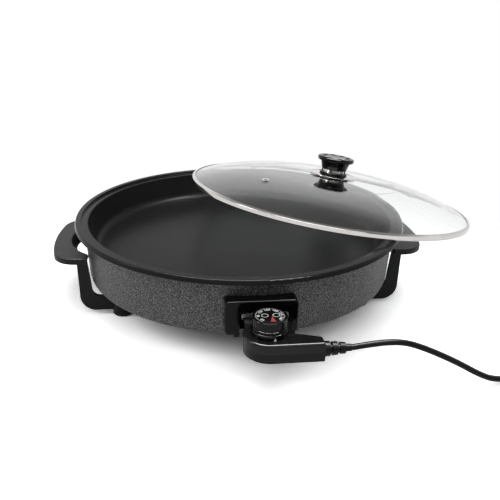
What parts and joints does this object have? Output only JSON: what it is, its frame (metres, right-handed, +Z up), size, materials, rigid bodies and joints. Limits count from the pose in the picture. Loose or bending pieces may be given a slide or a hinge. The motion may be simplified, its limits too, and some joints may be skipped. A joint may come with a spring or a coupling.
{
  "type": "electric skillet",
  "caption": "Electric skillet: round non-stick pan in a deep speckled skirt on moulded leg handles, plug-in thermostat with dial and cord, loose domed glass lid resting askew on the rim.",
  "frame": {"origin": "on the pan's axis, on the surface that the feet stand on", "axes": "+Z up; -Y towards the socket and thermostat; the handles lie on -X and +X"},
  "size_m": [0.6762, 0.6243, 0.1718],
  "materials": {
    "nonstick": "cast aluminium with a satin non-stick coating",
    "hammertone": "speckled dark enamel on sheet steel",
    "dull_steel": "plain steel",
    "element_steel": "heat-dulled sheath",
    "insulator": "moulded insulating block",
    "gloss_black": "polished thermoset moulding",
    "handle_black": "fine-grained thermoset moulding",
    "foot_rubber": "soft rubber",
    "contact_brass": "plated contact metal",
    "cable_black": "flexible cord sheath",
    "tie_black": "strap",
    "dial_print": "printed dial face",
    "lid_glass": "tempered clear glass",
    "polished_steel": "polished stainless steel"
  },
  "bodies": {
    "skillet": {"pan": "nonstick", "outer_skirt": "hammertone", "bottom_cover": "dull_steel", "heating_element": "element_steel", "element_straps": "dull_steel", "strap_screws": "dull_steel", "power_pins": "dull_steel", "earth_pin": "dull_steel", "inlet_block": "insulator", "inlet_screws": "dull_steel", "inlet_shroud": "dull_steel", "socket_guard": "gloss_black", "guard_screws": "dull_steel", "handle_left": "handle_black", "handle_right": "handle_black", "handle_screws": "dull_steel", "rubber_feet": "foot_rubber"},
    "thermostat": {"thermostat_upper_housing": "gloss_black", "thermostat_lower_housing": "gloss_black", "dial_collar": "gloss_black", "housing_screws": "dull_steel", "switch_block": "insulator", "probe_rod": "dull_steel", "contact_sleeves": "contact_brass", "earth_contact": "contact_brass", "strain_relief": "cable_black", "cord_lead": "cable_black", "cord_coil": "cable_black", "cord_tie": "tie_black", "mains_plug": "cable_black", "plug_pins": "contact_brass"},
    "dial": {"dial_knob": "handle_black", "dial_face": "dial_print", "dial_spindle": "dull_steel"},
    "lid": {"lid_glass": "lid_glass", "lid_rim_band": "polished_steel", "vent_eyelet": "polished_steel", "knob_flange": "polished_steel", "knob_washer": "foot_rubber", "knob_base_ring": "handle_black", "knob_spacer": "polished_steel", "lid_knob": "gloss_black", "knob_top": "gloss_black", "knob_retainer": "handle_black", "knob_screw": "dull_steel"}
  },
  "joints": [
    {"name": "lid_lift", "type": "slide", "parent": "skillet", "child": "lid", "axis": [0, 0, 1], "range_m": [0, 0.15]},
    {"name": "thermostat_unplug", "type": "slide", "parent": "skillet", "child": "thermostat", "axis": [0, -1, 0], "range_m": [0, 0.1]},
    {"name": "dial_turn", "type": "hinge", "parent": "thermostat", "child": "dial", "pos_m": [0.0055, -0.2445, 0.087], "axis": [0, 0, 1], "range_deg": [0, 280]}
  ]
}
